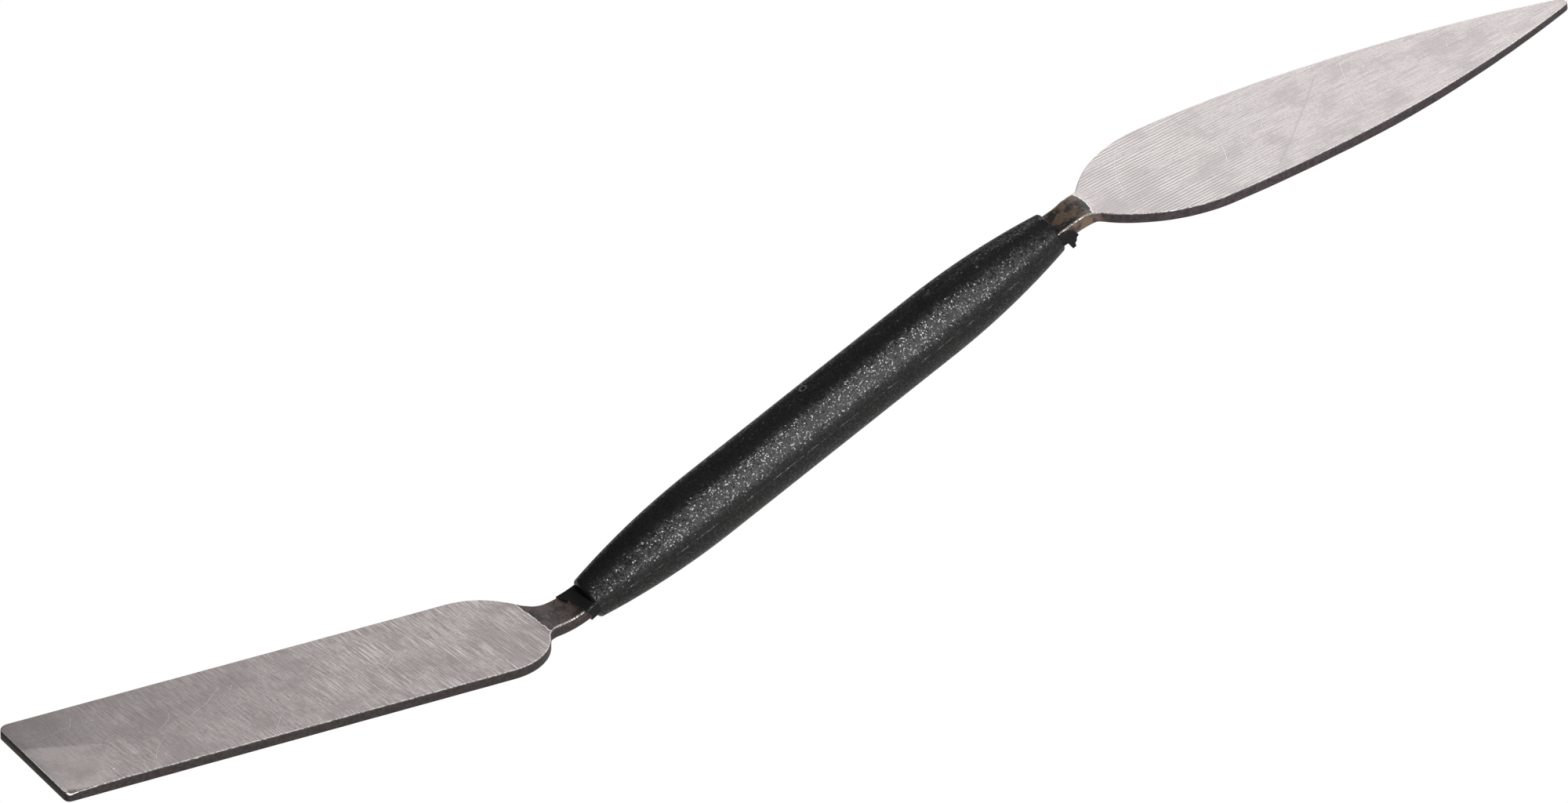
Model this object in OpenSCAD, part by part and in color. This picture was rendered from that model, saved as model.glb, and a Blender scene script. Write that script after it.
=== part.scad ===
// Double-ended palette knife: a square-ended blade and a leaf-shaped blade, each with a
// tang that is keyed into one moulded handle.
// Frame: +X along the handle towards the leaf blade, +Y across the blades, +Z up.
// The origin is the middle of the handle. The square blade bends up from the handle line
// and the leaf blade bends down from it, so the two blades stay nearly parallel.

/* [Handle] */
// Length of the handle, end face to end face
handle_length = 88; // [78:1:100]
// Diameter of the parallel middle of the handle
handle_d = 10.8; // [10:0.1:13]
// Length of the parallel middle
handle_parallel = 42; // [10:1:60]
// Diameter at the end faces
rim_d = 6.5; // [6.2:0.1:9]
// Width of the chamfer round each end face
rim_chamfer = 0.2; // [0.1:0.05:0.5]

/* [Collar] */
// Length of the collar on the side where it is longest
collar_long = 3.3; // [2:0.1:3.6]
// Length of the collar on the side where it is shortest
collar_short = 1.7; // [1:0.1:2]
// Thickness of the plastic skin over the steel
collar_skin = 0.3; // [0.2:0.05:0.5]

/* [Neck] */
// Thickness of the steel before grinding
neck_t = 1.85; // [1.75:0.05:2.4]
// Width of the neck where it leaves the handle
neck_w = 5.8; // [5:0.1:6]
// Width of the neck where it meets a blade
heel_w = 7.5; // [6.5:0.1:8]
// Radius of the bends, on the middle of the steel
bend_r = 14; // [10:1:16]

/* [Tang] */
// Length of steel inside the handle at each end
tang_length = 34; // [28:1:38]
// Width of the tang
tang_w = 5; // [4.4:0.1:5.4]
// Diameter of the holes that the plastic flows through
key_d = 2.4; // [1.5:0.1:3]
// Distance from the inner end of the tang to the first hole, and between holes
key_pitch = 9; // [6:0.5:12]

/* [Square blade] */
// Width of the square blade
square_w = 22; // [16:1:25]
// Length from the bend to the square end
square_length = 86.3; // [60:0.1:95]
// Angle between the square blade and the handle line
square_bend = 27.5; // [0.5:0.5:35]
// Distance from the handle's end face to the bend
square_neck = 4.6; // [4.4:0.1:8]
// Radius of the shoulders
square_heel_r = 10.3; // [8:0.1:12]
// Distance from the bend to the widest point
square_widest = 13.8; // [12:0.1:16]
// Distance from the bend to where the ground face starts
square_grind = 4.2; // [3.8:0.1:6]

/* [Leaf blade] */
// Widest width of the leaf blade
leaf_w = 25; // [18:1:27]
// Length from the bend to the tip
leaf_length = 88.1; // [60:0.1:95]
// Angle between the leaf blade and the handle line
leaf_bend = 18.5; // [0.5:0.5:35]
// Distance from the handle's end face to the bend
leaf_neck = 4.3; // [3.6:0.1:8]
// Radius of the shoulders
leaf_heel_r = 24; // [22:0.1:30]
// Distance from the bend to the widest point
leaf_widest = 20.8; // [20:0.1:24]
// Radius of the tip, seen from above
tip_r = 1.3; // [0.8:0.1:2]
// Distance from the bend to where the ground face starts
leaf_grind = 2.6; // [2.4:0.1:4]
// Thickness at the tip
tip_t = 1.2; // [0.5:0.05:1.4]
// Distance from the bend to where the underside starts to thin towards the tip
thin_from = 48; // [30:1:60]

/* [Ground faces] */
// Thickness of the ground blades
blade_t = 1.55; // [1:0.05:1.65]
// Radius that the grinding wheel leaves where it runs out at the neck
wheel_r = 4; // [3:0.5:10]
// Rounding between the neck and the shoulders
fillet_r = 3; // [1.5:0.5:4]

/* [Hidden] */
$fn = 96;
STEEL = [0.62, 0.60, 0.59];
PLASTIC = [0.06, 0.06, 0.065];
// A cutting shape reaches this far past what it cuts
over = 1;
// Arcs that meet another edge at a tangent are this much larger, so that the two merge
merge = 0.002;
half_length = handle_length / 2;
shoulder_depth = 1.5;      // the full neck width reaches this far into the handle
collar_overlap = 2;        // the collar is rooted this deep in the handle
collar_lift = collar_skin / 3; // the skin is this much thicker over the top of the neck
wide = 40;                 // wider than any blade, for cutting slabs
vast = 170;                // a square of this size covers everything outward of the tang's end
run_out = sqrt(pow(wheel_r, 2) - pow(wheel_r - (neck_t - blade_t) / 2, 2));

// ---- flat shapes in the blade's own plane: +X outward from the bend, Y across ----

// Everything between two distances from the bend
module band(from, to) {
    translate([from, -wide / 2]) square([to - from, wide]);
}

// One edge's arc, as the disc that it bounds: radius r, touching half_w at distance at
module edge_disc(at, half_w, r, side) {
    translate([at, side * (half_w - r)]) circle(r, $fn = 360);
}

// A concave fillet between the neck's edge and a shoulder of radius r, on one side
module neck_fillet(at, half_w, r, side) {
    rise = heel_w / 2 + fillet_r - (half_w - r);
    reach = sqrt(pow(r + fillet_r, 2) - pow(rise, 2));
    share = fillet_r / (r + fillet_r);
    centre = [at - reach, heel_w / 2 + fillet_r];
    touch = [centre.x + reach * share, centre.y - rise * share];
    scale([1, side]) difference() {
        polygon([[centre.x, 0], [centre.x, heel_w / 2], [touch.x, touch.y], [touch.x, 0]]);
        translate(centre) circle(fillet_r + merge);
    }
}

// The heel: neck width at the bend, opening through the fillets onto two shoulder arcs.
module heel_outline(at, half_w, r) {
    for (side = [-1, 1]) {
        neck_fillet(at, half_w, r, side);
        intersection() {
            edge_disc(at, half_w, r, side);
            band(0, at);
            translate([0, side < 0 ? -wide : 0]) square([wide, wide]);
        }
    }
}

module square_outline() {
    heel_outline(square_widest, square_w / 2, square_heel_r);
    translate([square_widest, -square_w / 2]) square([square_length - square_widest, square_w]);
}

// Radius of an arc that starts parallel to an axis and moves drop off it over run,
// to the nearest tenth of a millimetre
function sweep_r(run, drop) = round(5 * (pow(run, 2) + pow(drop, 2)) / drop) / 10;

module leaf_outline() {
    half_w = leaf_w / 2;
    // The long edges would meet just past the rounded tip
    edge_r = sweep_r(leaf_length + 0.8 * tip_r - leaf_widest, half_w);
    tip_reach = sqrt(pow(edge_r - tip_r, 2) - pow(edge_r - half_w, 2));
    touch = leaf_widest + tip_reach * edge_r / (edge_r - tip_r);
    heel_outline(leaf_widest, half_w, leaf_heel_r);
    intersection() {
        edge_disc(leaf_widest, half_w, edge_r, 1);
        edge_disc(leaf_widest, half_w, edge_r, -1);
        band(leaf_widest, touch);
    }
    translate([leaf_widest + tip_reach, 0]) circle(tip_r + merge);
}

// ---- side profiles: +X outward along the handle line, Y up through the thickness ----

// Everything under a surface that lies rise above the middle of the steel. The surface
// runs along the handle line, rounds the bend and follows the blade down.
module under_surface(bend_x, bend, length, rise, reach) {
    tangent = bend_r * tan(bend / 2);
    deep = bend_r + reach;
    translate([-reach, -deep]) square([bend_x - tangent + reach, deep + rise]);
    translate([bend_x - tangent, -bend_r]) circle(bend_r + rise + merge, $fn = 360);
    translate([bend_x, 0]) rotate(-bend)
        translate([tangent, -deep]) square([length - tangent + reach, deep + rise]);
}

// What the grinding wheel takes off one face, outward from the distance from
module ground_pocket(from, length, side) {
    scale([1, side]) translate([from + run_out, blade_t / 2]) {
        square([length, neck_t]);
        translate([0, wheel_r]) circle(wheel_r + merge, $fn = 360);
    }
}

// The steel's side view from the tang's inner end to the end of the blade. The blade bends
// towards -Y of this profile by the angle bend, at the distance bend_x from the origin.
module side_profile(bend_x, bend, length, grind_from) {
    tang_end = half_length - tang_length;
    difference() {
        intersection() {
            under_surface(bend_x, bend, length, neck_t / 2, 0);
            translate([tang_end, -vast / 2]) square(vast);
        }
        under_surface(bend_x, bend, length, -neck_t / 2, over);
        translate([bend_x, 0]) rotate(-bend) {
            ground_pocket(grind_from, length, 1);
            ground_pocket(grind_from, length, -1);
        }
    }
}

// Tang, neck and the start of the bend, seen from above
module tang_outline(bend_x) {
    tang_end = half_length - tang_length;
    shoulder = half_length - shoulder_depth;
    difference() {
        union() {
            translate([tang_end, -tang_w / 2]) square([tang_length, tang_w]);
            polygon([
                [shoulder, -neck_w / 2], [half_length, -neck_w / 2], [bend_x, -heel_w / 2],
                [bend_x, heel_w / 2], [half_length, neck_w / 2], [shoulder, neck_w / 2]
            ]);
        }
        for (i = [1:2])
            translate([tang_end + i * key_pitch, 0]) circle(d = key_d);
    }
}

// ---- solids ----

// A blade that leaves the handle along +X and bends down. Its child is the blade's outline.
module blade(bend_x, bend, length, grind_from) {
    tall = 3 * neck_t;
    intersection() {
        rotate([90, 0, 0]) linear_extrude(wide, center = true)
            side_profile(bend_x, bend, length, grind_from);
        union() {
            linear_extrude(tall, center = true) tang_outline(bend_x);
            translate([bend_x, 0, 0]) rotate([0, bend, 0]) linear_extrude(tall, center = true) {
                children();
                polygon([
                    [-neck_t, -neck_w / 2], [0, -heel_w / 2], [grind_from, -heel_w / 2],
                    [grind_from, heel_w / 2], [0, heel_w / 2], [-neck_t, neck_w / 2]
                ]);
            }
        }
    }
}

module square_blade() {
    color(STEEL) rotate([0, 180, 0])
        blade(half_length + square_neck, square_bend, square_length, square_grind)
            square_outline();
}

// The wedge that is ground off the leaf's underside towards its tip
module tip_relief() {
    reach = leaf_length - thin_from;
    slope = (blade_t - tip_t) / reach;
    long_reach = reach + over;
    translate([half_length + leaf_neck, 0, 0]) rotate([0, leaf_bend, 0])
        translate([thin_from, 0, -blade_t / 2]) rotate([90, 0, 0])
            linear_extrude(wide, center = true)
                polygon([[0, 0], [long_reach, slope * long_reach], [long_reach, -over], [0, -over]]);
}

module leaf_blade() {
    color(STEEL) difference() {
        blade(half_length + leaf_neck, leaf_bend, leaf_length, leaf_grind) leaf_outline();
        tip_relief();
    }
}

// Half of the handle's outline for turning: X is the radius, Y the distance along the handle
module barrel_profile() {
    r = handle_d / 2;
    taper_from = handle_parallel / 2;
    taper_r = sweep_r(half_length - taper_from, r - rim_d / 2);
    square([r, taper_from]);
    intersection() {
        translate([r - taper_r, taper_from]) circle(taper_r, $fn = 720);
        polygon([
            [0, 0], [r, 0], [r, half_length - rim_chamfer - (r - rim_d / 2)],
            [rim_d / 2 - rim_chamfer, half_length], [0, half_length]
        ]);
    }
}

module barrel() {
    for (turn = [-90, 90])
        rotate([0, turn, 0]) rotate_extrude($fn = 180) barrel_profile();
}

// The thin sleeve of plastic that the mould leaves around the square blade's neck
module collar() {
    root = half_length - collar_overlap;
    half_w = neck_w / 2 + collar_skin;
    tall = neck_t + 2 * collar_skin;
    translate([0, 0, collar_lift]) linear_extrude(tall, center = true)
        polygon([
            [-root, -half_w], [-half_length - collar_short, -half_w],
            [-half_length - collar_long, half_w], [-root, half_w]
        ]);
}

module handle() {
    color(PLASTIC) difference() {
        union() {
            barrel();
            collar();
        }
        square_blade();
        leaf_blade();
    }
}

handle();
square_blade();
leaf_blade();
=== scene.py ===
"""Double-ended palette knife: a square blade and a leaf blade of ground steel in a black moulded handle.

Lengths in this script are millimetres until a point is placed, and MM turns them into metres.
The frame is the CAD model's: +X along the handle towards the leaf blade, +Y across, +Z up.
"""
import math
import random

import bpy
from mathutils import Matrix, Vector, noise


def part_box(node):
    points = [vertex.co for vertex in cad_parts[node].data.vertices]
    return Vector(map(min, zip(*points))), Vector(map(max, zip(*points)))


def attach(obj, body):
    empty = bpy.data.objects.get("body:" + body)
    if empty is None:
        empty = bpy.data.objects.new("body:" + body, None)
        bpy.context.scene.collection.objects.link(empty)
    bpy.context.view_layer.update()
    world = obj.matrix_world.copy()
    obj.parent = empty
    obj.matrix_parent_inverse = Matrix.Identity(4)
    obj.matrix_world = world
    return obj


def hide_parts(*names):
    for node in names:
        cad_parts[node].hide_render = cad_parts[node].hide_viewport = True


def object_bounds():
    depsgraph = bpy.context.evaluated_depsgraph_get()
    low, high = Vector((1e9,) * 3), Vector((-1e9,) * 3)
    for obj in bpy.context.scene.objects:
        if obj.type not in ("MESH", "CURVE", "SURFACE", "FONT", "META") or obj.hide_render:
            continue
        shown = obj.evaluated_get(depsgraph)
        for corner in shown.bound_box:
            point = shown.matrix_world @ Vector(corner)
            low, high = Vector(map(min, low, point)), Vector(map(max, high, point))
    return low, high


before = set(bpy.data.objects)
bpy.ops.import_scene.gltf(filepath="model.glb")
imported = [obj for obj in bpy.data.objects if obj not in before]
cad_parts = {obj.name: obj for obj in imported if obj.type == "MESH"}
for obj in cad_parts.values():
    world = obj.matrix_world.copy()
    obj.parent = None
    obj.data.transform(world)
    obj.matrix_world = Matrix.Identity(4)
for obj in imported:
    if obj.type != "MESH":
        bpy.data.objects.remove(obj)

CAD_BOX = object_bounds()

# ---------------------------------------------------------------- sizes

MM = 0.001
HALF_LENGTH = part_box("handle")[1].x / MM
BARREL_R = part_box("handle")[1].z / MM
BARREL_PARALLEL = 21.0          # half the length of the plain cylinder
RIM_R = 3.25                    # radius of the handle at its end faces
BEND_R = 14.0                   # bends, on the middle of the steel
TANG_END = 10.0                 # inner end of each tang, from the handle's centre
TANG_W = 2.5                    # half the tang's width
PART_LINE = math.radians(86.6)  # angle of the parting line from the top of the handle
NECK_S = -5.2                   # where the necks leave the handle, in the blades' own s
TANG_FROM, TANG_TO = -6.6, -6.0  # the neck narrows to the tang between these s


class Blade:
    """The sizes of one blade. s is the distance outward from the corner of its bend."""

    def __init__(self, **sizes):
        self.__dict__.update(sizes)
        self.tangent = BEND_R * math.tan(self.bend / 2)
        self.bend_start = self.bend_x - self.tangent
        self.s_offset = self.bend_start + BEND_R * self.bend - self.tangent

    def place(self, u, y, h):
        """The point u along the middle of the steel, y across it and h above it."""
        side = self.side
        turned = min(max((u - self.bend_start) / BEND_R, 0.0), self.bend)
        straight = u - self.bend_start
        if straight > 0.0:
            straight = max(straight - BEND_R * self.bend, 0.0)
        reach = BEND_R + h * side
        x = self.bend_start + reach * math.sin(turned) + straight * math.cos(turned)
        z = reach * math.cos(turned) - BEND_R - straight * math.sin(turned)
        return Vector((x * side, y, z * side)) * MM


# Of the pairs, -1 is the -Y side and 1 the +Y side. shift moves the blade's middle off y = 0.
# widest is where the shoulder arc of radius heel_r ends, and waist is how far the neck draws in.
# step is where the ground face begins; its line slants by step_slant and bows by step_bow.
SQUARE = Blade(
    name="square_blade", side=-1, bend=math.radians(27.5), bend_x=HALF_LENGTH + 4.6,
    length=86.3, half_w=10.89, shift=0.11, heel_r=10.3, widest={-1: 13.9, 1: 13.2},
    fillet_r={-1: 2.5, 1: 4.0}, heel_w={-1: 3.15, 1: 3.5}, neck_w=2.95, waist={-1: 0.0, 1: 0.0},
    neck_top=1.0, neck_under=-0.78, face_top=0.71, face_under=-0.84,
    edge_r=0.15, neck_edge_r=0.24, wear_and_highlight_w=0.13, step=3.9, step_slant=0.08, step_bow=0.0,
)
LEAF = Blade(
    name="leaf_blade", side=1, bend=math.radians(18.5), bend_x=HALF_LENGTH + 4.3,
    length=0.0, half_w=12.43, shift=0.27, heel_r=22.0, widest={-1: 20.1, 1: 19.9},
    fillet_r={-1: 1.5, 1: 4.5}, heel_w={-1: 3.1, 1: 3.0}, neck_w=2.92, waist={-1: 0.0, 1: 0.3},
    neck_top=1.12, neck_under=-0.86, face_top=0.67, face_under=-0.92,
    edge_r=0.13, neck_edge_r=0.2, wear_and_highlight_w=0.22, step=1.95, step_slant=0.0, step_bow=-0.045,
)
STEP_MIDDLE = 0.9               # where across the blade a bowed step reaches furthest out
SQUARE_CORNER = {-1: 1.0, 1: 1.7}
LEAF_POINT = 89.1               # where the leaf's two long edges would meet
LEAF_TIP_R = 1.3
LEAF_WIDEST = max(LEAF.widest.values())
LEAF_EDGE_R = ((LEAF_POINT - LEAF_WIDEST) ** 2 + LEAF.half_w ** 2) / (2 * LEAF.half_w)
LEAF_TIP_S = LEAF_WIDEST + math.sqrt(
    (LEAF_EDGE_R - LEAF_TIP_R) ** 2 - (LEAF_EDGE_R - LEAF.half_w) ** 2)
LEAF.length = LEAF_TIP_S + LEAF_TIP_R


def smooth(low, high, value):
    """0 below low, 1 above high, and an S-curve between them."""
    t = min(max((value - low) / (high - low), 0.0), 1.0)
    return t * t * (3 - 2 * t)


def mix(a, b, t):
    return a + (b - a) * t


def ripple(seed, *place):
    """Smooth noise between about -1 and 1 at up to three coordinates."""
    padded = list(place) + [0.0] * (3 - len(place))
    return noise.noise(Vector(padded) + Vector((seed * 13.7, seed * 5.3, seed * 9.1)))


# ---------------------------------------------------------------- blade outlines

EDGE_WAVER = 0.03               # unevenness of the outline
SHIFT_FROM, SHIFT_TO = 2.0, 8.0      # the blade's middle moves off y = 0 between these s
RETURN_FROM, RETURN_TO = 30.0, 60.0  # and the leaf's moves back between these


def heel_width(blade, s, side):
    """Half-width from the handle to the widest point: neck, concave fillet, shoulder arc."""
    at, r = blade.widest[side], blade.heel_r
    fillet, heel_w = blade.fillet_r[side], blade.heel_w[side]
    rise = heel_w + fillet - (blade.half_w - r)
    fillet_s = at - math.sqrt((r + fillet) ** 2 - rise ** 2)
    touch_s = fillet_s + (at - fillet_s) * fillet / (r + fillet)
    if s < fillet_s:
        along = min(max((s - NECK_S) / (fillet_s - NECK_S), 0.0), 1.0)
        waist = blade.waist[side] * 27 / 4 * along ** 2 * (1 - along)
        return mix(blade.neck_w, heel_w, along) - waist
    if s < touch_s:
        return heel_w + fillet - math.sqrt(fillet ** 2 - (s - fillet_s) ** 2)
    return blade.half_w - r + math.sqrt(r ** 2 - (at - s) ** 2)


def square_width(s, side):
    """Half-width of the square blade, with its rounded far corner."""
    if s < SQUARE.widest[side]:
        return heel_width(SQUARE, s, side)
    corner = SQUARE_CORNER[side]
    into_corner = max(s - (SQUARE.length - corner), 0.0)
    return SQUARE.half_w - corner + math.sqrt(max(corner ** 2 - into_corner ** 2, 0.0))


def leaf_width(s, side):
    """Half-width of the leaf blade: a long arc from the widest point to the round tip."""
    if s < LEAF.widest[side]:
        return heel_width(LEAF, s, side)
    past = max(s - LEAF_WIDEST, 0.0)
    touch = (LEAF_TIP_S - LEAF_WIDEST) * LEAF_EDGE_R / (LEAF_EDGE_R - LEAF_TIP_R)
    if past < touch:
        return LEAF.half_w - LEAF_EDGE_R + math.sqrt(LEAF_EDGE_R ** 2 - past ** 2)
    return math.sqrt(max(LEAF_TIP_R ** 2 - (s - LEAF_TIP_S) ** 2, 0.0))


def blade_width(blade, s, side):
    """Half-width at s, with the slight unevenness of a hand-ground edge."""
    if s < TANG_TO:
        return mix(TANG_W, blade.neck_w, smooth(TANG_FROM, TANG_TO, s))
    width = square_width(s, side) if blade is SQUARE else leaf_width(s, side)
    return width + EDGE_WAVER * ripple(3 + side, s * 0.35) * min(width, 1.0)


def middle_shift(blade, s):
    """How far the blade's middle lies from y = 0 at s."""
    fade = smooth(RETURN_TO, RETURN_FROM, s) if blade is LEAF else 1.0
    return blade.shift * smooth(SHIFT_FROM, SHIFT_TO, s) * fade


def grind_start(blade, y):
    """Where the ground face begins, at y across the blade."""
    return blade.step + blade.step_slant * y + blade.step_bow * (y - STEP_MIDDLE) ** 2


# ---------------------------------------------------------------- blade faces

STEP_WAVER = 0.12               # how far the line of the step wanders
STEP_BEFORE, STEP_AFTER = 1.2, 1.4   # the step down is spread this far to each side of it
NECK_DENTS = 0.03               # unevenness of the forged neck
SLOW_RUN, QUICK_RUN = 8.3, 2.3  # the square end rolls down slowly at first, then quickly
END_ROLL = 0.07                 # how far it rolls down all along
CORNER_SLOW, CORNER_QUICK = 0.28, 0.25  # and how much further at its -Y corner
CORNER_FROM, CORNER_TO = -10.3, -10.9   # which lies between these y
UNDER_LAG = 0.5                 # the lower face's step lies this much further out
THIN_FROM, TIP_THIN = 50.0, 0.55     # the leaf blade thins by this much from here to its tip
LIP_RUN, LIP_RISE = 0.5, 0.12   # rounding under the square end
EDGE_FROM, EDGE_TO = 1.0, 6.0   # the neck's blunt edges sharpen to the blade's between these s


def top_height(blade, s, y):
    """Height of the upper face over the middle of the steel."""
    step = grind_start(blade, y) + STEP_WAVER * ripple(1, y * 0.9)
    ground = smooth(step - STEP_BEFORE, step + STEP_AFTER, s)
    height = mix(blade.neck_top, blade.face_top, ground)
    height += NECK_DENTS * ripple(2, s * 0.8, y * 0.8) * smooth(step, step - 1.0, s)
    if blade is SQUARE:
        height -= end_droop(s, y)
    return height


def end_droop(s, y):
    """How far the square blade's upper face rolls down at its end, most at the -Y corner."""
    corner = smooth(CORNER_FROM, CORNER_TO, y)
    slow = max(s - (SQUARE.length - SLOW_RUN), 0.0) / SLOW_RUN
    quick = max(s - (SQUARE.length - QUICK_RUN), 0.0) / QUICK_RUN
    extra = corner * (CORNER_SLOW * slow ** 1.5 + CORNER_QUICK * quick ** 2)
    return END_ROLL * quick ** 2 + extra


def under_height(blade, s, y):
    """Height of the lower face, below the middle of the steel."""
    step = grind_start(blade, y) + UNDER_LAG
    height = mix(blade.neck_under, blade.face_under, smooth(step - 0.2, step + 1.0, s))
    if blade is LEAF:
        height += TIP_THIN * max(s - THIN_FROM, 0.0) / (LEAF.length - THIN_FROM)
    else:
        height += LIP_RISE * (max(s - (SQUARE.length - LIP_RUN), 0.0) / LIP_RUN) ** 2
    return height


def edge_radius(blade, s, width):
    """Radius of the rounding between the faces and the sides."""
    worn = mix(blade.neck_edge_r, blade.edge_r, smooth(EDGE_FROM, EDGE_TO, s))
    return min(worn, 0.6 * width)


# ---------------------------------------------------------------- blade meshes

END_CHAMFER = 0.05
END_SHARE = 0.88                # height of the end face as a share of the last ring's
END_RUN = 1.3                   # length of the finely divided end
END_RINGS = 16
EDGE_STEPS = 4
SIDE_STEPS = 3
FACE_STEPS = 22
CREASE = math.radians(38)       # shading breaks where faces meet at more than this
BORDER = 0.25                   # value of edge on the border of a face
BEHIND, AHEAD = 0.02, 0.0005    # reach of the slope measurement along the outline


def steps(start, stop, size):
    """Evenly spaced values from start up to but not including stop."""
    count = max(1, round((stop - start) / size))
    return [start + (stop - start) * k / count for k in range(count)]


def blade_stations(blade):
    """Distances s of the rings, close together where the shape turns quickly."""
    tang, neck, step, shoulder = TANG_END - blade.s_offset, -7.0, 1.0, 5.5
    straight = max(blade.widest.values()) + 1.0
    end, last = blade.length - 3.2, blade.length - END_RUN
    stations = steps(tang, neck, 3.0) + steps(neck, -5.0, 0.3) + steps(-5.0, step, 0.2)
    stations += steps(step, shoulder, 0.07) + steps(shoulder, straight, 0.25)
    stations += steps(straight, end, 1.1) + steps(end, last, 0.2)
    shares = [math.sin(math.pi / 2 * k / END_RINGS) for k in range(END_RINGS + 1)]
    return stations + [last + (END_RUN - END_CHAMFER) * share for share in shares]


def side_frame(blade, s, side):
    """The outline point's half-width and its outward normal (along, across) at s."""
    reach = min(s, blade.length - 0.001)
    width = blade_width(blade, reach, side)
    slope = blade_width(blade, reach + AHEAD, side) - blade_width(blade, reach - BEHIND, side)
    slope /= AHEAD + BEHIND
    # The rings stay square to the blade in the handle and at the very end
    slope *= smooth(blade.length - 0.3, blade.length - 1.6, s) * smooth(-5.5, -4.5, s)
    norm = math.hypot(1.0, slope)
    return width, -slope / norm, side / norm


def blade_ring(blade, s):
    """One closed ring as (s, y, h, edge). edge is 0 inside the faces and 1 on the sides."""
    frames = {side: side_frame(blade, s, side) for side in (-1, 1)}

    def rim_point(side, angle, upper):
        width, along, across = frames[side]
        r = edge_radius(blade, s, width)
        inset = r * (1 - math.sin(angle))
        point_s, point_y = s - along * inset, side * width - across * inset
        drop = r * (1 - math.cos(angle))
        edge = mix(BORDER, 1.0, angle / (math.pi / 2))
        if upper:
            return point_s, point_y, top_height(blade, point_s, point_y) - drop, edge
        return point_s, point_y, under_height(blade, point_s, point_y) + drop, edge

    def face_row(upper):
        left, right = rim_point(-1, 0.0, upper), rim_point(1, 0.0, upper)
        height = top_height if upper else under_height
        rim = min(blade.wear_and_highlight_w / max(right[1] - left[1], blade.wear_and_highlight_w), 0.2)
        inner = [mix(rim, 1 - rim, k / FACE_STEPS) for k in range(FACE_STEPS + 1)]
        at_end = BORDER * smooth(blade.length - 0.35, blade.length - 0.1, s)
        row = []
        for t in [0.0] + inner + [1.0]:
            point_s, point_y = mix(left[0], right[0], t), mix(left[1], right[1], t)
            edge = BORDER if t in (0.0, 1.0) else at_end
            row.append((point_s, point_y, height(blade, point_s, point_y), edge))
        return row

    angles = [math.pi / 2 * k / EDGE_STEPS for k in range(1, EDGE_STEPS + 1)]
    ring = face_row(True)
    for side, rows in ((1, (True, False)), (-1, (False, True))):
        going_down = [rim_point(side, angle, rows[0]) for angle in angles]
        coming_up = [rim_point(side, angle, rows[1]) for angle in reversed(angles)]
        ring += going_down
        for k in range(1, SIDE_STEPS):
            height = mix(going_down[-1][2], coming_up[0][2], k / SIDE_STEPS)
            ring.append((going_down[-1][0], going_down[-1][1], height, 1.0))
        ring += coming_up
        if side == 1:
            ring += face_row(False)[::-1]
    return ring


def mesh_object(name, points, faces, plan):
    """A smooth-shaded object with sharp creases. plan holds a vector per vertex for its shader."""
    mesh = bpy.data.meshes.new(name)
    mesh.from_pydata(points, [], faces)
    layer = mesh.attributes.new("plan", "FLOAT_VECTOR", "POINT")
    layer.data.foreach_set("vector", [value for vector in plan for value in vector])
    mesh.polygons.foreach_set("use_smooth", [True] * len(mesh.polygons))
    mesh.validate()
    mesh.update()
    mesh.set_sharp_from_angle(angle=CREASE)
    made = bpy.data.objects.new(name, mesh)
    bpy.context.scene.collection.objects.link(made)
    return made


def ring_faces(rings, size, first=0, flip=False):
    """Quads between consecutive closed rings of the same size."""
    faces = []
    for i in range(rings - 1):
        for j in range(size):
            a, b = first + i * size + j, first + i * size + (j + 1) % size
            quad = (a, b, b + size, a + size)
            faces.append(tuple(reversed(quad)) if flip else quad)
    return faces


def build_blade(blade, name):
    """One blade from its tang to its end: rings joined by quads, and a cap at each end."""
    rings = [blade_ring(blade, s) for s in blade_stations(blade)]
    rings.append([(s + END_CHAMFER, y, END_SHARE * h, 1.0) for s, y, h, _ in rings[-1]])
    size = len(rings[0])
    points, plan = [], []
    for ring in rings:
        for s, y, h, edge in ring:
            points.append(blade.place(s + blade.s_offset, y + middle_shift(blade, s), h))
            plan.append((s, y, edge))
    flip = blade.side < 0
    faces = ring_faces(len(rings), size, flip=not flip)
    last = (len(rings) - 1) * size
    inner_cap, outer_cap = list(range(size)), list(range(last, last + size))
    faces.append(inner_cap if not flip else inner_cap[::-1])
    faces.append(outer_cap[::-1] if not flip else outer_cap)
    return mesh_object(name, points, faces, plan)


# ---------------------------------------------------------------- handle mesh

GATE_X = -0.25                       # centre of the gate mark, along the handle
GATE_ANGLE = math.radians(8.0)       # and round it from the top towards +Y
GATE_R = 0.55
TAPER_RUN = HALF_LENGTH - BARREL_PARALLEL
TAPER_R = (TAPER_RUN ** 2 + (BARREL_R - RIM_R) ** 2) / (2 * (BARREL_R - RIM_R))
LEAF_END = HALF_LENGTH - 0.2         # the end face at the leaf blade sits a little back
SQUARE_ROUNDING, LEAF_ROUNDING = 0.5, 0.3
FLASH_H, FLASH_W = 0.07, 0.09        # the parting line's ridge
GATE_RIM_H, GATE_RIM_W = 0.07, 0.12  # the raised ring round the gate mark
GATE_DEPTH, GATE_SLOPE = 0.10, 0.25
BARREL_COLUMNS = 112
FLASH_COLUMN, GATE_COLUMN = 0.45, 1.1   # degrees between the closer columns
END_SHARES = (0.02, 0.5, 0.9, 0.98)     # rings that close an end face, as shares of its radius


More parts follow.
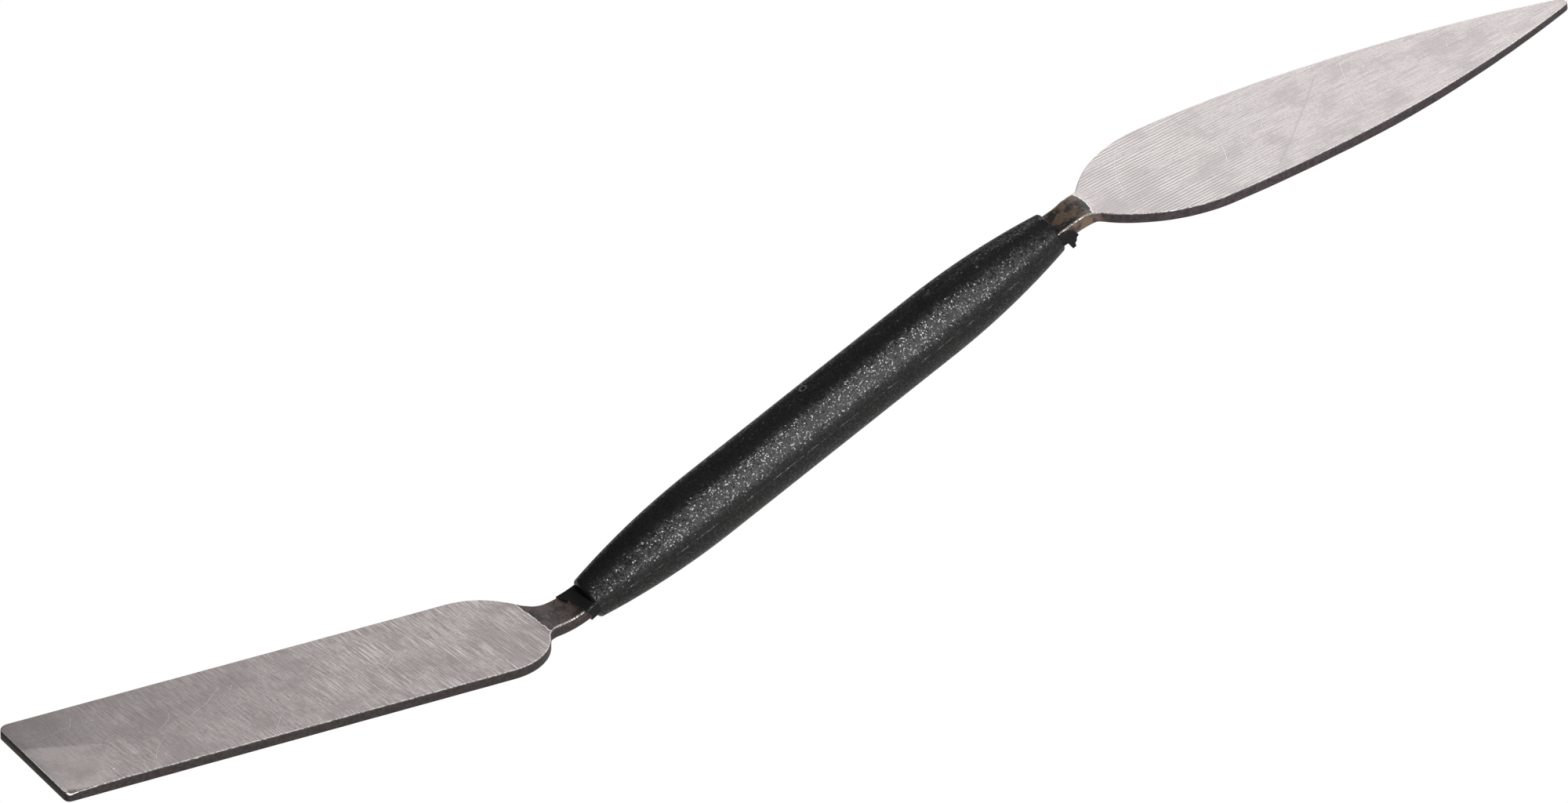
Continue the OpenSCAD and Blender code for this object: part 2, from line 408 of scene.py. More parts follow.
def barrel_radius(x):
    """The handle's radius: a cylinder with bowed tapers and rounded rims."""
    into_taper = max(abs(x) - BARREL_PARALLEL, 0.0)
    radius = BARREL_R - TAPER_R + math.sqrt(TAPER_R ** 2 - into_taper ** 2)
    rounding, end = (SQUARE_ROUNDING, HALF_LENGTH) if x < 0 else (LEAF_ROUNDING, LEAF_END)
    into_rim = max(abs(x) - (end - rounding), 0.0)
    return radius - rounding + math.sqrt(max(rounding ** 2 - into_rim ** 2, 0.0))


def barrel_relief(x, angle, radius):
    """Height of the parting line's flash and of the gate mark over the barrel."""
    relief = 0.0
    for side, seed in ((-1, 4), (1, 6)):
        across = (angle - side * PART_LINE) * radius
        broken = smooth(-0.15, 0.3, ripple(seed, x * 0.55))
        broken *= smooth(-0.5, 0.1, ripple(seed + 1, x * 2.5))
        wander = 0.05 * ripple(seed + 2, x * 0.3)
        relief += FLASH_H * broken * math.exp(-((across - wander) / FLASH_W) ** 2)
    away = math.hypot(x - GATE_X, (angle - GATE_ANGLE) * radius)
    if away < 3 * GATE_R:
        relief += GATE_RIM_H * math.exp(-((away - GATE_R) / GATE_RIM_W) ** 2)
        relief -= GATE_DEPTH * smooth(GATE_R, GATE_R - GATE_SLOPE, away)
    return relief


def barrel_angles():
    """Angles round the barrel, close together at the parting lines and the gate mark."""
    angles = {round(-180 + 360 * k / BARREL_COLUMNS, 3) for k in range(BARREL_COLUMNS)}
    for side in (-1, 1):
        centre = math.degrees(PART_LINE) * side
        angles |= {round(centre + k * FLASH_COLUMN, 3) for k in range(-7, 8)}
    gate = math.degrees(GATE_ANGLE)
    angles |= {round(gate + k * GATE_COLUMN, 3) for k in range(-8, 9)}
    return [math.radians(a) for a in sorted(angles)]


def barrel_rows():
    """(x, share of the radius) of the rings, with the two end faces closed at the axis."""
    rows = [(-HALF_LENGTH, share) for share in END_SHARES]
    gate_from, gate_to = GATE_X - 1.2, GATE_X + 1.2
    first, last = -HALF_LENGTH + 0.6, LEAF_END - 0.4
    along = steps(-HALF_LENGTH, first, 0.07) + steps(first, gate_from, 0.5)
    along += steps(gate_from, gate_to, 0.1) + steps(gate_to, last, 0.5)
    along += steps(last, LEAF_END, 0.05) + [LEAF_END]
    rows += [(x, 1.0) for x in along]
    return rows + [(LEAF_END, share) for share in reversed(END_SHARES)]


def barrel_parts():
    """The body of the handle with its flash and gate mark."""
    angles = barrel_angles()
    points, plan = [], []
    rows = barrel_rows()
    for x, share in rows:
        radius = barrel_radius(x)
        for angle in angles:
            r = (radius + barrel_relief(x, angle, radius)) * share
            points.append(Vector((x, r * math.sin(angle), r * math.cos(angle))) * MM)
            plan.append((x, angle * BARREL_R, 0.0))
    faces = ring_faces(len(rows), len(angles), flip=True)
    last = (len(rows) - 1) * len(angles)
    faces.append(tuple(range(len(angles))))
    faces.append(tuple(range(last + len(angles) - 1, last - 1, -1)))
    return points, faces, plan


# Reach of the skin of plastic over the square blade's neck, measured like s + s_offset,
# at eight places round the neck from its +Y side over the top to the -Y side and back.
SKIN_REACH = [47.2, 47.1, 46.2, 45.7, 45.15, 45.4, 46.0, 46.8]
SKIN = 0.3                      # its thickness
SKIN_ROOT = 0.8                 # depth of its root inside the handle
SKIN_ROWS, SKIN_COLUMNS = 9, 120
SKIN_RIM = (0.8, 0.35, -0.3)    # the last rings turn in, at these shares of the thickness
SKIN_SQUARENESS = 7             # power of the superellipse that wraps the neck
TORN = 1.5                      # value of plan.z on the torn rim


def skin_reach(turn):
    """Where the skin's ragged edge lies, turn being 0 to 1 round the neck."""
    place = turn * len(SKIN_REACH)
    index = int(place) % len(SKIN_REACH)
    following = (index + 1) % len(SKIN_REACH)
    reach = mix(SKIN_REACH[index], SKIN_REACH[following], smooth(0, 1, place - int(place)))
    circle = (math.cos(turn * 2 * math.pi) * 4, math.sin(turn * 2 * math.pi) * 4)
    ragged = 0.16 * ripple(11, *circle)
    torn = 0.08 * ripple(12, circle[0] * 2.5, circle[1] * 2.5)
    return reach + ragged + torn


def skin_parts():
    """The sleeve that laps the neck: a thin shell with a soft broken edge."""
    points, plan = [], []
    lengthwise = [k / SKIN_ROWS for k in range(SKIN_ROWS + 1)] + [1.0] * len(SKIN_RIM)
    lift = [1.0] * (SKIN_ROWS + 1) + list(SKIN_RIM)
    for share, height in zip(lengthwise, lift):
        flash = 1.0 if height == 1.0 else TORN
        for column in range(SKIN_COLUMNS):
            turn = column / SKIN_COLUMNS
            angle = turn * 2 * math.pi
            u = mix(HALF_LENGTH - SKIN_ROOT, skin_reach(turn), share) + 0.06 * (1 - abs(height))
            half_w = blade_width(SQUARE, u - SQUARE.s_offset, 1) + SKIN * height
            high, low = SQUARE.neck_top + SKIN * height, SQUARE.neck_under - SKIN * height
            middle, half_t = (high + low) / 2, (high - low) / 2
            across, up = math.cos(angle), math.sin(angle)
            power = SKIN_SQUARENESS
            out = (abs(across) ** power + abs(up) ** power) ** (-1 / power)
            points.append(SQUARE.place(u, half_w * across * out, middle + half_t * up * out))
            plan.append((-u, angle, flash))
    faces = ring_faces(len(lengthwise), SKIN_COLUMNS)
    return points, faces, plan


# Outline of the flake of flash on the -Y side of the leaf blade's neck, as (x, z).
FLAKE = [
    (43.6, 1.0), (44.6, 1.1), (45.4, 0.8), (45.8, 0.3), (46.1, -0.1), (46.4, -0.9),
    (45.9, -1.1), (45.7, -1.5), (45.3, -1.7), (45.2, -2.2), (44.6, -2.25), (44.4, -1.4),
    (44.3, -1.0), (43.6, -0.9),
]
FLAKE_MIDDLE = Vector((44.9, -0.4))
FLAKE_Y = -3.12
FLAKE_T = 0.28
FLAKE_LAYERS = ((0.0, 0.97), (-0.25, 1.0), (-0.75, 1.0), (-1.0, 0.93))  # depth and size


def flake_parts():
    """A thin ragged plate that stands against the neck, with its rim rounded over."""
    points, plan = [], []
    for depth, share in FLAKE_LAYERS:
        for x, z in FLAKE:
            spot = FLAKE_MIDDLE + (Vector((x, z)) - FLAKE_MIDDLE) * share
            bulge = 0.08 * ripple(15, x * 1.5, z * 1.5)
            lean = 0.10 * min(spot.y + 0.8, 0.0)
            points.append(Vector((spot.x, FLAKE_Y + depth * FLAKE_T + bulge + lean, spot.y)) * MM)
            plan.append((x, z, 1.0))
    count = len(FLAKE)
    faces = ring_faces(len(FLAKE_LAYERS), count)
    last = (len(FLAKE_LAYERS) - 1) * count
    faces.append(tuple(reversed(range(count))))
    faces.append(tuple(range(last, last + count)))
    return points, faces, plan


def build_handle(name):
    """Barrel, skin and flake as one moulding."""
    points, faces, plan = [], [], []
    for part_points, part_faces, part_plan in (barrel_parts(), skin_parts(), flake_parts()):
        first = len(points)
        points += part_points
        plan += part_plan
        faces += [tuple(first + v for v in face) for face in part_faces]
    return mesh_object(name, points, faces, plan)


# ---------------------------------------------------------------- node helpers

class Shader:
    """A material under construction. Values may be sockets, numbers or tuples."""

    def __init__(self, name):
        self.material = bpy.data.materials.new(name)
        self.material.use_nodes = True
        self.tree = self.material.node_tree
        self.tree.nodes.clear()

    def set(self, socket, value):
        """Links a socket, or sets a number or a colour of three or four values."""
        if isinstance(value, bpy.types.NodeSocket):
            self.tree.links.new(value, socket)
        elif socket.type == "RGBA" and len(value) == 3:
            socket.default_value = (*value, 1.0)
        else:
            socket.default_value = value

    def node(self, kind, inputs=None, **settings):
        """A new node with its settings made before its inputs are filled."""
        made = self.tree.nodes.new(kind)
        for key, value in settings.items():
            setattr(made, key, value)
        for key, value in (inputs or {}).items():
            self.set(made.inputs[key], value)
        return made

    def math(self, operation, a, b=0.0):
        return self.node("ShaderNodeMath", {0: a, 1: b}, operation=operation).outputs[0]

    def add(self, a, b):
        return self.math("ADD", a, b)

    def times(self, a, b):
        return self.math("MULTIPLY", a, b)

    def rest(self, a):
        """What is left of 1 after a."""
        return self.math("SUBTRACT", 1.0, a)

    def distance(self, a, b=0.0):
        """The distance between a and the number b."""
        return self.math("ABSOLUTE", self.add(a, -b) if b else a)

    def band(self, value, low, high, bottom=0.0, top=1.0):
        """An S-curve from bottom, at low, to top, at high."""
        made = self.node(
            "ShaderNodeMapRange", {"Value": value, "From Min": low, "From Max": high},
            interpolation_type="SMOOTHSTEP",
        )
        self.set(made.inputs["To Min"], bottom)
        self.set(made.inputs["To Max"], top)
        return made.outputs["Result"]

    def vector(self, x, y, z=0.0):
        return self.node("ShaderNodeCombineXYZ", {0: x, 1: y, 2: z}).outputs[0]

    def noise(self, place, scale=1.0, detail=2.0, roughness=0.5):
        made = self.node(
            "ShaderNodeTexNoise",
            {"Vector": place, "Scale": scale, "Detail": detail, "Roughness": roughness},
        )
        return made.outputs[0]

    def cells(self, place, scale, **settings):
        return self.node("ShaderNodeTexVoronoi", {"Vector": place, "Scale": scale}, **settings)

    def split(self, vector):
        return self.node("ShaderNodeSeparateXYZ", {0: vector}).outputs

    def vectors(self, operation, *values):
        inputs = dict(enumerate(values))
        return self.node("ShaderNodeVectorMath", inputs, operation=operation).outputs

    def plan(self):
        """The vector that mesh_object stores in every vertex."""
        return self.node("ShaderNodeAttribute", attribute_name="plan").outputs["Vector"]

    def blend(self, share, a, b):
        made = self.node("ShaderNodeMix", data_type="RGBA", clamp_factor=True)
        for socket, value in zip((made.inputs[0], made.inputs[6], made.inputs[7]), (share, a, b)):
            self.set(socket, value)
        return made.outputs[2]

    def principled(self, **inputs):
        """Ends the material in one Principled shader and returns it."""
        surface = self.node("ShaderNodeBsdfPrincipled")
        for key, value in inputs.items():
            self.set(surface.inputs[key.replace("_", " ")], value)
        return self.end(surface)

    def end(self, surface):
        self.node("ShaderNodeOutputMaterial", {"Surface": surface.outputs[0]})
        return self.material


# ---------------------------------------------------------------- steel

WHITE_STEEL = (0.93, 0.92, 0.91)
PIT_BROWN = (0.10, 0.07, 0.05)
SCALE_GLINT = (0.3, 0.27, 0.26)
GAP_SHADOW = (0.002, 0.002, 0.002)
LONG_SCRATCH_W, SHORT_SCRATCH_W, STAIN_W = 0.08, 0.07, 0.25    # half-widths
SQUARE_LEAN, LEAF_LEAN = -0.1, -0.1     # slant of the grinding marks on each blade
GROOVE_PITCH = 0.66                     # of the leaf's grooves
COLOR_LAG = 0.05                        # the ground colour begins this far past the step


def scratch(shader, place, start, end, bow, half_width):
    """One bowed scratch from start to end on the blade's face, as a mask."""
    run = (end[0] - start[0], end[1] - start[1])
    length = math.hypot(*run)
    along = (run[0] / length ** 2, run[1] / length ** 2, 0.0)
    across = (-run[1] / length, run[0] / length, 0.0)

    def measure(axis):
        offset = -(start[0] * axis[0] + start[1] * axis[1])
        return shader.add(shader.vectors("DOT_PRODUCT", place, axis)["Value"], offset)

    t = measure(along)
    hump = shader.times(t, shader.rest(t))
    off = shader.math("SUBTRACT", measure(across), shader.times(hump, 4 * bow))
    line = shader.band(shader.distance(off), 0.4 * half_width, half_width, 1.0, 0.0)
    return shader.times(line, shader.band(hump, 0.0, 0.06))


def all_scratches(shader, s, y, marks, faint, seed):
    """The blade's own long scratches and a scatter of short faint ones."""
    wander = shader.noise(shader.vector(s, y, seed), 0.3, 2.0)
    shift = shader.times(shader.add(wander, -0.5), 0.7)
    place = shader.vector(shader.add(s, shift), shader.add(y, shift))
    total = 0.0
    for start, end, bow in marks:
        line = scratch(shader, place, start, end, bow, LONG_SCRATCH_W)
        total = shader.math("MAXIMUM", total, line)
    rng = random.Random(seed)
    for _ in range(faint):
        start = (rng.uniform(6, 76), rng.uniform(-8, 8))
        heading, length = rng.uniform(0, 2 * math.pi), rng.uniform(1.2, 5.0)
        end = (start[0] + length * math.cos(heading), start[1] + length * math.sin(heading))
        line = scratch(shader, place, start, end, rng.uniform(-0.5, 0.5), SHORT_SCRATCH_W)
        total = shader.math("MAXIMUM", total, shader.times(line, rng.uniform(0.3, 0.8)))
    broken = shader.noise(shader.vector(s, y, seed + 3.0), 2.2, 1.0)
    return shader.times(total, shader.band(broken, 0.3, 0.55, 0.35, 1.0))


def streaks(shader, along, across, fine, long_run, seed):
    """Grinding marks: noise that changes quickly across them and slowly along them."""
    place = shader.vector(shader.times(across, fine), shader.times(along, long_run), seed)
    return shader.noise(place, 1.0, 2.0, 0.6)


def square_grinding(shader, s, y):
    """Fine marks across the blade, coarser and brighter in clusters near the neck, a darker far half,
    and painted shade across the tilted end.
    """
    across = shader.add(s, shader.times(y, SQUARE_LEAN))
    fine = streaks(shader, y, across, 6.0, 0.36, 5.0)
    medium = streaks(shader, y, across, 4.2, 0.13, 2.0)
    spread = shader.vector(shader.times(s, 0.14), shader.times(y, 0.12), 6.0)
    clusters = shader.band(shader.noise(spread, 1.0, 3.0), 0.38, 0.62, 0.3, 1.0)
    near_neck = shader.times(shader.band(s, 18.0, 46.0, 1.0, 0.45), clusters)
    medium_off = shader.times(shader.add(medium, -0.5), near_neck)
    grain = shader.noise(shader.vector(s, y, 3.0), 2.6, 3.0, 0.75)
    shade = shader.add(shader.times(fine, 0.8), shader.add(shader.times(medium_off, 1.5), 0.1))
    shade = shader.add(shade, shader.times(shader.add(grain, -0.5), 0.5))
    bright_line = shader.times(shader.band(medium, 0.6, 0.7), near_neck)

    # A wedge of painted shade crosses the tilted end, and the corner beyond it is lighter
    wedge_y = shader.math("SUBTRACT", y, shader.times(shader.add(s, -77.3), 0.37))
    wedge = shader.times(shader.band(wedge_y, -0.2, 0.5), shader.band(s, 72.0, 82.0))
    lighter_corner = shader.times(shader.band(wedge_y, -0.5, 0.2, 1.0, 0.0), shader.band(s, 74.0, 81.0))
    shade = shader.add(shade, shader.times(lighter_corner, 0.14))
    # The far half of the face is darker
    far_half = shader.times(shader.band(y, -9.0, 7.0, 0.3, 0.85), shader.band(s, 28.0, 62.0))
    return shade, bright_line, shader.add(far_half, shader.times(wedge, 0.6))


def leaf_grinding(shader, s, y):
    """Near-parallel grooves along the blade, deep at the neck and lost towards the tip."""
    warp = shader.noise(shader.vector(shader.times(s, 0.05), shader.times(y, 0.3), 4.0), 1.0, 2.0)
    across = shader.add(y, shader.times(s, LEAF_LEAN))
    across = shader.add(across, shader.times(warp, 0.7))
    wave = shader.math("SINE", shader.times(across, 2 * math.pi / GROOVE_PITCH))
    spread = shader.vector(shader.times(s, 0.12), shader.times(y, 0.45), 6.0)
    patchy = shader.band(shader.noise(spread, 1.0, 3.0), 0.36, 0.56, 0.2, 1.0)
    depth = shader.times(shader.band(s, 6.0, 42.0, 1.0, 0.05), patchy)
    run_in = shader.band(shader.add(s, shader.times(y, 0.45)), 4.0, 7.0, 0.15, 1.0)
    depth = shader.times(depth, run_in)
    fine = streaks(shader, s, across, 6.0, 0.2, 5.0)
    coarse = streaks(shader, s, across, 1.6, 0.08, 7.0)
    grain = shader.noise(shader.vector(s, y, 3.0), 2.6, 3.0, 0.75)
    shade = shader.add(shader.times(fine, 0.6), shader.times(shader.add(grain, -0.5), 0.5))
    shade = shader.add(shade, shader.add(shader.times(coarse, 0.18), 0.12))
    shade = shader.add(shade, shader.times(shader.times(wave, depth), 0.25))
    bright_line = shader.times(shader.band(wave, 0.3, 1.0), depth)
    return shade, bright_line, 0.0


def steel(name, blade, light, dark, darkening_color, scales, rust, sheared, marks, mark_share,
          faint, stains, seed):
    """Ground faces, dark forge scale on the neck and dark sheared edges, in one material."""
    shader = Shader(name)
    s, y, edge = shader.split(shader.plan())
    grind = square_grinding if blade is SQUARE else leaf_grinding
    shade, bright_line, darkening = grind(shader, s, y)

    ground = shader.blend(shader.band(shade, 0.3, 0.7), dark, light)
    cloud = shader.noise(shader.vector(s, y, 1.0), 0.13, 4.0, 0.65)
    ground = shader.blend(shader.band(cloud, 0.45, 0.62, 0.0, 0.5), ground, dark)
    ground = shader.blend(shader.times(bright_line, 0.45), ground, WHITE_STEEL)
    # Painted shade of the square end's wedge, and the darker far half
    ground = shader.blend(shader.times(darkening, 0.45), ground, darkening_color)
    for start, end, bow in stains:
        stain = scratch(shader, shader.vector(s, y), start, end, bow, STAIN_W)
        ground = shader.blend(shader.times(stain, 0.4), ground, dark)
    lines = all_scratches(shader, s, y, marks, faint, seed)
    ground = shader.blend(shader.times(lines, mark_share), ground, WHITE_STEEL)
    flecks = shader.cells(shader.vector(s, y, 4.0), 0.35)
    fleck = shader.band(flecks.outputs["Distance"], 0.03, 0.07, 1.0, 0.0)
    rare = shader.band(shader.noise(shader.vector(s, y, 2.5), 0.3), 0.55, 0.65)
    ground = shader.blend(shader.times(shader.times(fleck, rare), 0.7), ground, WHITE_STEEL)
    pits = shader.cells(shader.vector(s, y, 4.0), 0.1)
    pit = shader.band(pits.outputs["Distance"], 0.012, 0.03, 1.0, 0.0)
    ground = shader.blend(shader.times(pit, 0.8), ground, PIT_BROWN)

    # Forge scale on the neck, up to where the grinding wheel ran out
    patches = shader.noise(shader.vector(s, y, 8.0), 0.55, 3.0)
    spots = shader.cells(shader.vector(s, y, 2.0), 0.9).outputs["Distance"]
    scale = shader.blend(shader.band(patches, 0.43, 0.55), *scales)
    scale = shader.blend(shader.band(spots, 0.12, 0.2, 0.6, 0.0), scale, scales[1])
    glints = shader.cells(shader.vector(s, y, 7.0), 0.8).outputs["Distance"]
    scale = shader.blend(shader.band(glints, 0.06, 0.14, 0.5, 0.0), scale, SCALE_GLINT)
    # Painted shadow: the neck goes near black where it enters the recess at the handle's end
    gap = HALF_LENGTH - blade.s_offset
    scale = shader.blend(shader.band(s, gap + 0.1, gap + 0.6, 0.95, 0.0), scale, GAP_SHADOW)
    wobble = shader.times(shader.add(shader.noise(shader.vector(s, y, 6.0), 1.6, 2.0), -0.5), 0.5)
    off_middle = shader.add(y, -STEP_MIDDLE)
    bowed = shader.times(shader.times(off_middle, off_middle), blade.step_bow)
    bent = shader.add(shader.times(y, blade.step_slant), bowed)
    start = shader.add(bent, blade.step + COLOR_LAG)
    past = shader.math("SUBTRACT", shader.add(s, wobble), start)
    is_ground = shader.band(past, -0.05, 0.08)
    # A painted highlight: a white line along the edge of the step where the ground face begins
    step_highlight = shader.band(shader.distance(past, 0.12), 0.0, 0.16, 0.7, 0.0)
    ground = shader.blend(step_highlight, ground, WHITE_STEEL)

    # Sheared sides, with the bright worn corner between them and the faces, painted white as wear and as
    # a highlight along the edge
    place = shader.node("ShaderNodeNewGeometry").outputs["Position"]
    grit = shader.noise(place, 1.6 / MM, 3.0, 0.65)
    side_color = shader.blend(shader.band(grit, 0.35, 0.65), *sheared)
    near_neck = shader.band(s, 1.5, 3.5, 1.0, 0.0)
    rusty = shader.times(near_neck, shader.band(shader.noise(place, 0.6 / MM, 3.0), 0.42, 0.6))
    side_color = shader.blend(shader.times(rusty, 0.8), side_color, rust)
    is_side = shader.band(shader.add(edge, shader.times(shader.add(grit, -0.5), 0.5)), 0.62, 0.85)
    worn = shader.times(shader.band(edge, 0.05, 0.9 * BORDER), shader.rest(is_side))
    ticks = shader.noise(shader.vector(s, y, 9.0), 3.2, 1.0)
    worn = shader.times(worn, shader.band(ticks, 0.4, 0.56, 0.2, 1.0))
    worn = shader.times(worn, shader.band(s, blade.length - 2.5, blade.length - 0.3, 1.0, 0.45))
    # The painted highlight is strongest on the -Y edge and fades towards +Y
    worn = shader.times(worn, shader.band(y, 0.0, 4.0, 1.0, 0.3))

    color = shader.blend(is_ground, scale, ground)
    color = shader.blend(is_side, color, side_color)
    worn = shader.times(worn, shader.band(s, 1.0, 4.0, 0.95, 1.0))
    color = shader.blend(worn, color, WHITE_STEEL)

    bright = shader.times(is_ground, shader.rest(is_side))
    bright = shader.math("MAXIMUM", bright, shader.times(worn, 0.9))
    roughness = shader.add(shader.times(bright, -0.08), 0.44)
    roughness = shader.add(roughness, shader.times(shader.add(shade, -0.5), 0.16))
    ground_height = shader.add(shader.times(shade, 0.03), shader.times(lines, -0.02))
    rough_height = shader.times(shader.noise(place, 1.9 / MM, 4.0, 0.6), 0.08)
    rough_height = shader.times(rough_height, shader.rest(bright))
    height = shader.add(shader.times(ground_height, bright), rough_height)
    normal = shader.node("ShaderNodeBump", {"Height": height, "Distance": MM}).outputs[0]
    return shader.principled(
        Base_Color=color, Metallic=shader.add(shader.times(bright, 0.75), 0.25),
        Roughness=roughness, Normal=normal,
    )


# ---------------------------------------------------------------- moulded plastic

FACETS = ((3.0 / MM, 0.15), (5.4 / MM, 0.2))     # how fine each layer of facets is, and its tilt
PLASTIC_COLORS = ((0.006, 0.006, 0.006), (0.010, 0.0098, 0.0095))
SPARKLE_COLOR = (0.015, 0.0146, 0.0146)
FLASH_COLOR = (0.018, 0.017, 0.018)
TORN_RIM_HIGHLIGHT = (0.22, 0.2, 0.2)
PALE_COLOR = (0.16, 0.155, 0.15)


def moulded_plastic(name):
    """Black plastic with a spark-eroded grain: each small facet tilts its own way."""
    shader = Shader(name)
    place = shader.node("ShaderNodeNewGeometry").outputs["Position"]
    normal = shader.node("ShaderNodeNewGeometry").outputs["Normal"]
    plan = shader.plan()
    x, arc, is_flash = shader.split(plan)
    grained = shader.band(is_flash, 0.0, 1.0, 1.0, 0.25)
    for scale, reach in FACETS:
        cell = shader.cells(place, scale).outputs["Color"]
        tilt = shader.vectors("SUBTRACT", cell, (0.5, 0.5, 0.5))[0]
        amount = shader.times(grained, reach)
        amount = shader.vector(amount, amount, amount)
        normal = shader.vectors("MULTIPLY_ADD", tilt, amount, normal)[0]
    normal = shader.vectors("NORMALIZE", normal)[0]
    picked = shader.split(cell)[0]
    sparkle = shader.band(shader.math("FRACT", shader.times(picked, 9.0)), 0.74, 0.86)
    mottle = shader.noise(place, 0.25 / MM, 3.0)
    color = shader.blend(shader.band(mottle, 0.3, 0.7), *PLASTIC_COLORS)
    color = shader.blend(sparkle, color, SPARKLE_COLOR)
    color = shader.blend(is_flash, color, FLASH_COLOR)
    # Painted highlight along the skin's torn rim, broken up by noise
    torn = shader.noise(place, 1.1 / MM, 2.0)
    torn = shader.times(shader.band(is_flash, 1.05, 1.4), shader.band(torn, 0.42, 0.55))
    color = shader.blend(torn, color, TORN_RIM_HIGHLIGHT)

    # Pale broken dashes of the parting line, the gate mark's ring and a few specks of dust
    off_line = shader.distance(shader.distance(arc), PART_LINE * BARREL_R)
    dashes = shader.band(shader.noise(shader.vector(x, 0.0, 2.0), 1.3, 5.0, 0.8), 0.48, 0.66)
    dashes = shader.times(dashes, shader.band(shader.distance(x), 34.0, 38.0, 1.0, 0.0))
    pale = shader.times(shader.band(off_line, 0.03, 0.1, 1.0, 0.0), dashes)
    gate = (GATE_X, GATE_ANGLE * BARREL_R, 0.0)
    off_ring = shader.distance(shader.vectors("DISTANCE", plan, gate)["Value"], GATE_R)
    pale = shader.math("MAXIMUM", pale, shader.band(off_ring, 0.05, 0.14, 0.7, 0.0))
    dust = shader.cells(plan, 0.16, voronoi_dimensions="2D")
    kept = shader.band(shader.split(dust.outputs["Color"])[0], 0.8, 0.82)
    speck = shader.times(shader.band(dust.outputs["Distance"], 0.02, 0.05, 0.8, 0.0), kept)
    pale = shader.math("MAXIMUM", pale, speck)
    pale = shader.times(pale, shader.rest(is_flash))
    color = shader.blend(pale, color, PALE_COLOR)
    roughness = shader.add(shader.times(sparkle, -0.22), 0.40)
    gloss = shader.times(shader.add(shader.times(sparkle, 0.45), 0.38), grained)
    return shader.principled(
        Base_Color=color, Roughness=roughness, Normal=normal, Specular_IOR_Level=gloss,
    )


# ---------------------------------------------------------------- pieces

# The long scratches of each blade's upper face, as start (s, y), end (s, y) and bow
SQUARE_MARKS = [
    ((77.0, -3.9), (63.6, -1.3), 0.5), ((63.6, -1.3), (53.3, 5.5), 0.6),
    ((66.7, -1.1), (63.0, 2.4), 0.6), ((63.7, -1.4), (70.7, -8.5), 0.7),
    ((56.0, -1.3), (51.0, 0.1), -0.5), ((52.3, -10.2), (45.5, -3.7), -0.7),
    ((84.7, 5.1), (77.1, 5.8), 0.6), ((85.5, -2.9), (78.1, -2.2), 0.4),
    ((37.6, -10.0), (31.4, -6.1), 0.3), ((30.7, -2.0), (26.3, 2.4), 0.3),
    ((15.2, 3.8), (6.7, 0.7), 0.4), ((41.5, 3.1), (37.9, 5.6), 0.4),
]
LEAF_MARKS = [
    ((26.5, 2.6), (24.0, -4.6), 0.3), ((29.5, 0.4), (28.6, -2.6), -0.3),
    ((35.1, 2.8), (32.3, -3.4), -0.8), ((28.5, -8.6), (27.9, -9.8), 0.1),
    ((16.0, -1.4), (13.7, -2.9), 0.1), ((51.6, 8.1), (47.3, -6.0), -0.5),
    ((67.6, 3.0), (66.1, 0.5), -0.3), ((46.9, -1.4), (46.7, -3.6), 0.1),
    ((74.6, -2.6), (72.0, -4.7), 0.3), ((14.9, 11.3), (8.1, -1.5), -1.0),
]
LEAF_STAINS = [((46.7, 7.3), (29.1, -10.5), 0.3)]

square_piece = build_blade(SQUARE, "square_blade_steel")
square_piece.data.materials.append(steel(
    "square_blade_steel", SQUARE, light=(0.47, 0.427, 0.42), dark=(0.23, 0.2, 0.198),
    darkening_color=(0.16, 0.14, 0.14), scales=((0.042, 0.032, 0.029), (0.1, 0.07, 0.062)),
    rust=(0.12, 0.08, 0.068), sheared=((0.036, 0.028, 0.028), (0.062, 0.048, 0.047)),
    marks=SQUARE_MARKS, mark_share=0.45, faint=14, stains=[], seed=11,
))
leaf_piece = build_blade(LEAF, "leaf_blade_steel")
leaf_piece.data.materials.append(steel(
    "leaf_blade_steel", LEAF, light=(0.66, 0.615, 0.61), dark=(0.38, 0.345, 0.345),
    darkening_color=(0.3, 0.28, 0.28), scales=((0.024, 0.019, 0.016), (0.15, 0.1, 0.066)),
    rust=(0.26, 0.175, 0.115), sheared=((0.05, 0.039, 0.042), (0.088, 0.067, 0.073)),
    marks=LEAF_MARKS, mark_share=0.85, faint=32, stains=LEAF_STAINS, seed=23,
))
handle_piece = build_handle("handle_moulding")
handle_piece.data.materials.append(moulded_plastic("moulded_plastic"))

for piece, node_name, slot in (
    (square_piece, "square_blade", "square_blade_steel"),
    (leaf_piece, "leaf_blade", "leaf_blade_steel"),
    (handle_piece, "handle", "moulded_plastic"),
):
    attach(piece, "root")
    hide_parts(node_name)


# ---------------------------------------------------------------- floor and light

WHITE = (1.0, 1.0, 1.0)
GLOW_COLOR, GLOW_STRENGTH = (1.0, 0.98, 0.97), 0.47     # the light the floor glows with, in place of light bounced off it
WORLD_GREY = 0.07
FLOOR_DROP = 0.09               # metres, like all sizes from here on
FLOOR_SIZE = 6.0


